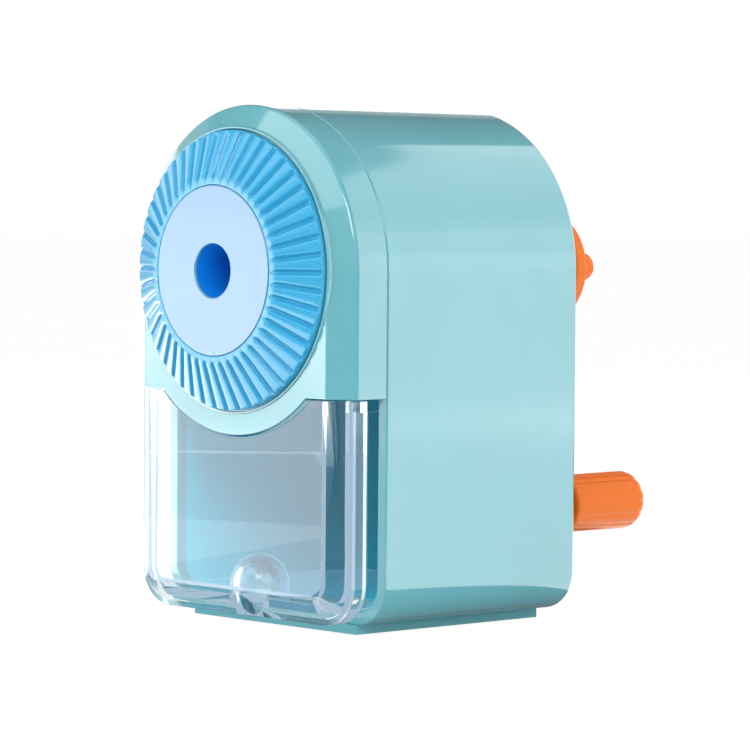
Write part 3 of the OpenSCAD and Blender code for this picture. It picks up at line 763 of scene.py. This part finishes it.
def block_ring(d, y, top=DRAWER_TOP):
    """Outline of the front block at an inset."""
    outline = tub_outline(DRAWER_HALF - d, DRAWER_LOW + d, top, max(CORNER_R - d, 1.4 * MM))
    return [(x, y, z) for x, z in outline]


def tray_ring(d, y, top=TRAY_TOP):
    """Outline of the tray at an inset."""
    outline = tub_outline(TRAY_HALF - d, TRAY_LOW + d, top, TRAY_CORNER - d)
    return [(x, y, z) for x, z in outline]


def front_block():
    """Solid front block with its chamfered edge."""
    corners = [(CHAMFER_W + 1 * MM, Y_FRONT), (CHAMFER_W, Y_FRONT), (0, Y_FRONT + CHAMFER_Y),
               (0, BLOCK_BACK)]
    section = fillet(corners, [0.25 * MM, 0.35 * MM], 3)
    return loft("front_block", [block_ring(d, y) for d, y in section])


def drawer_cavity():
    """Space inside the drawer, parallel to the chamfer in front and open at the top."""
    open_top = DRAWER_TOP + 5 * MM
    slope = CHAMFER_Y / CHAMFER_W
    inset = CHAMFER_W - DRAWER_WALL / slope + DRAWER_WALL * math.hypot(1, slope) / slope
    y_front = Y_FRONT + DRAWER_WALL
    y_side = y_front + (inset - DRAWER_WALL) * slope
    y_step = BLOCK_BACK - DRAWER_WALL
    in_block = [(inset, y_front), (DRAWER_WALL, y_side), (DRAWER_WALL, y_step)]
    rings = [block_ring(d, y, open_top) for d, y in in_block]
    rings += [tray_ring(DRAWER_WALL, y, open_top) for y in (y_step, DRAWER_BACK - DRAWER_WALL)]
    return loft("cavity", rings)


def pocket_dome(r, z):
    """Upright cylinder with a round top, standing at a height."""
    y_pocket = Y_FRONT + 8.7 * MM
    turns = [2 * math.pi * k / 48 for k in range(48)]
    rise = [math.radians(6 * k) for k in range(1, 15)]
    levels = [(r, z), (r, POCKET_TOP)] + [(r * math.cos(a), POCKET_TOP + r * math.sin(a)) for a in rise]
    rings = [[(q * math.cos(a), y_pocket + q * math.sin(a), h) for a in turns] for q, h in levels]
    return loft("dome", rings)


def make_drawer():
    """Clear drawer: front block, narrower tray behind it, scalloped top and a domed finger pocket."""
    drawer = front_block()
    tray = loft("tray", [tray_ring(0, y) for y in (BLOCK_BACK - 3 * MM, DRAWER_BACK)])
    boolean(drawer, tray, "UNION")
    boolean(drawer, drawer_cavity(), "DIFFERENCE")
    scallop = turned("scallop", [(SCALLOP_R, Y_FRONT - 5 * MM), (SCALLOP_R, DRAWER_BACK + 5 * MM)], 256)
    boolean(drawer, scallop, "DIFFERENCE")
    boolean(drawer, pocket_dome(POCKET_R + POCKET_WALL, TRAY_LOW + 0.3 * MM), "UNION")
    foot = pocket_dome(POCKET_R + POCKET_WALL, DRAWER_LOW + 1 * MM)
    boolean(foot, front_block(), "INTERSECT")
    boolean(drawer, foot, "UNION")
    boolean(drawer, pocket_dome(POCKET_R, DRAWER_LOW - 1 * MM), "DIFFERENCE")
    bevel(drawer, 0.15 * MM, 2, 48, 30)
    drawer.name = "clear_drawer"
    place(drawer, "drawer", "clear_plastic", ["shavings_drawer"], CLEAR)
    drawer.visible_shadow = False


# ---------------------------------------------------------------- crank

HUB_Y = Y_BACK + 21.8 * MM           # inner face of the hub and the arm


def make_hub():
    """Domed hub on its sleeve."""
    y_sleeve = crank_low.y
    y_rim = HUB_Y + 3 * MM
    hub_r = crank_high.x
    corners = [(0.2 * MM, y_sleeve), (8 * MM, y_sleeve), (8 * MM, HUB_Y), (hub_r, HUB_Y),
               (hub_r, y_rim), (hub_r - 3 * MM, y_rim + 2.4 * MM), (3.4 * MM, y_rim + 4.4 * MM),
               (0.2 * MM, y_rim + 4.5 * MM)]
    radii = [0.4 * MM, 0.6 * MM, 0.8 * MM, 1.0 * MM, 3 * MM, 0.5 * MM]
    return turned("hub", fillet(corners, radii, 6), 96)


def make_arm(y0, y1):
    """Flat arm from the knob up to the hub, with its edges broken."""
    low_half, high_half, edge = 4.5 * MM, 4.8 * MM, 0.8 * MM
    rings = []
    for y, d in ((y0, edge), (y0 + edge, 0), (y1 - edge, 0), (y1, edge)):
        rings.append([(d - low_half, y, KNOB_Z), (low_half - d, y, KNOB_Z),
                      (high_half - d, y, AXIS_Z), (d - high_half, y, AXIS_Z)])
    return loft("arm", rings)


def make_boss(y0, y1):
    """Round end of the arm that carries the knob."""
    corners = [(0.2 * MM, y0), (5.4 * MM, y0), (5.4 * MM, y1), (0.2 * MM, y1)]
    return turned("boss", fillet(corners, [0.8 * MM, 0.6 * MM], 4), 64, KNOB_Z)


def make_crank():
    """Hub, arm and boss in one piece, and the cap nut on the hub."""
    arm_end = HUB_Y + 5 * MM
    crank = join("crank", [make_hub(), make_arm(HUB_Y, arm_end), make_boss(HUB_Y, arm_end + 1.6 * MM)])
    place(crank, "crank", "orange_plastic", ["crank_arm"], ORANGE)
    corners = [(0.1 * MM, cap_low.y), (cap_high.x, cap_low.y), (cap_high.x, cap_high.y),
               (0.1 * MM, cap_high.y)]
    tip = turned("cap_nut", fillet(corners, [0.1 * MM, 2.2 * MM], 8), 64)
    place(tip, "crank", "orange_plastic", ["crank_cap"], ORANGE)


def make_knob():
    """Knob with shallow lengthwise flutes that run out at its rounded end."""
    radius = (knob_high.x - knob_low.x) / 2
    y0, y1 = knob_low.y, knob_high.y
    bore = 2.05 * MM
    sink = 3.5 * MM
    flute_depth = 0.20 * MM
    corners = [(bore, y0), (radius - 0.15 * MM, y0), (radius, y1), (sink, y1), (sink, y1 - 3 * MM),
               (bore, y1 - 3 * MM)]
    profile = fillet(corners, [0.8 * MM, 2.9 * MM, 0.3 * MM, 0.1 * MM], 10)
    rows = []
    for start, end in zip(profile, profile[1:]):
        parts = max(1, int(abs(end[1] - start[1]) / (1.5 * MM)))
        rows += [start] + between(start, end, parts)
    rows.append(profile[-1])
    rings = []
    for r, y in rows:
        reach = ease((r - radius + 2.2 * MM) / (1.6 * MM)) * ease((y - y0) / (2 * MM))
        ring = []
        for k in range(192):
            a = 2 * math.pi * k / 192
            flute = max(0.0, math.cos(FLUTE_COUNT * a)) ** 2
            radius_here = r - flute_depth * flute * reach
            ring.append((radius_here * math.cos(a), y, KNOB_Z + radius_here * math.sin(a)))
        rings.append(ring)
    knob = loft("knob", rings + rings[:1], cap_start=False, cap_end=False)
    place(knob, "knob", "orange_plastic", ["crank_knob"], ORANGE)


# ---------------------------------------------------------------- rear cap and base plate

def make_softened(node, body, slot, material, width):
    """Copy of a CAD node with rounded edges, standing in for it."""
    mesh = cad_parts[node].data.copy()
    obj = bpy.data.objects.new(node + "_soft", mesh)
    bpy.context.scene.collection.objects.link(obj)
    bm = bmesh.new()
    bm.from_mesh(mesh)
    bmesh.ops.remove_doubles(bm, verts=bm.verts, dist=2e-6)
    bmesh.ops.dissolve_limit(bm, angle_limit=math.radians(1), verts=bm.verts, edges=bm.edges)
    bm.to_mesh(mesh)
    bm.free()
    bevel(obj, width, 3, 35)
    place(obj, body, slot, [node], material)


# ---------------------------------------------------------------- pieces shown with their CAD shape

CAD_SHAPES = {
    RUBBER: ("anti_slip_pad",),
    WHITE: ("gear_case", "ring_gear", "chuck_plate", "dial_retainer"),
    RIB_BLUE: ("cam_plate",),
    BRONZE: ("rear_bush",),
    CAST: ("jaw_1", "jaw_2", "jaw_3", "cutter_carrier", "cutter_pinion"),
    STEEL: ("base_screws", "cover_screws", "rear_screws", "cutter_axle", "helical_cutter",
            "drive_shaft", "shaft_clip", "knob_pin"),
}


def finish_cad_shapes():
    """Gives the pieces that keep their CAD shape their material and smooth shading."""
    for material, nodes in CAD_SHAPES.items():
        for node in nodes:
            dress(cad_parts[node], material)
            smooth(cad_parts[node], SMOOTH_ANGLE)


# ---------------------------------------------------------------- scene

make_camera()
make_world()
make_lights()
make_floor()
bpy.context.scene.view_settings.view_transform = "Standard"
make_casing()
make_cover()
make_dial_ring()
make_dial_face()
make_drawer()
make_crank()
make_knob()
make_softened("base_plate", "housing", "teal_plastic", TEAL, 0.5 * MM)
make_softened("rear_cap", "housing", "teal_plastic", TEAL, 0.7 * MM)
finish_cad_shapes()
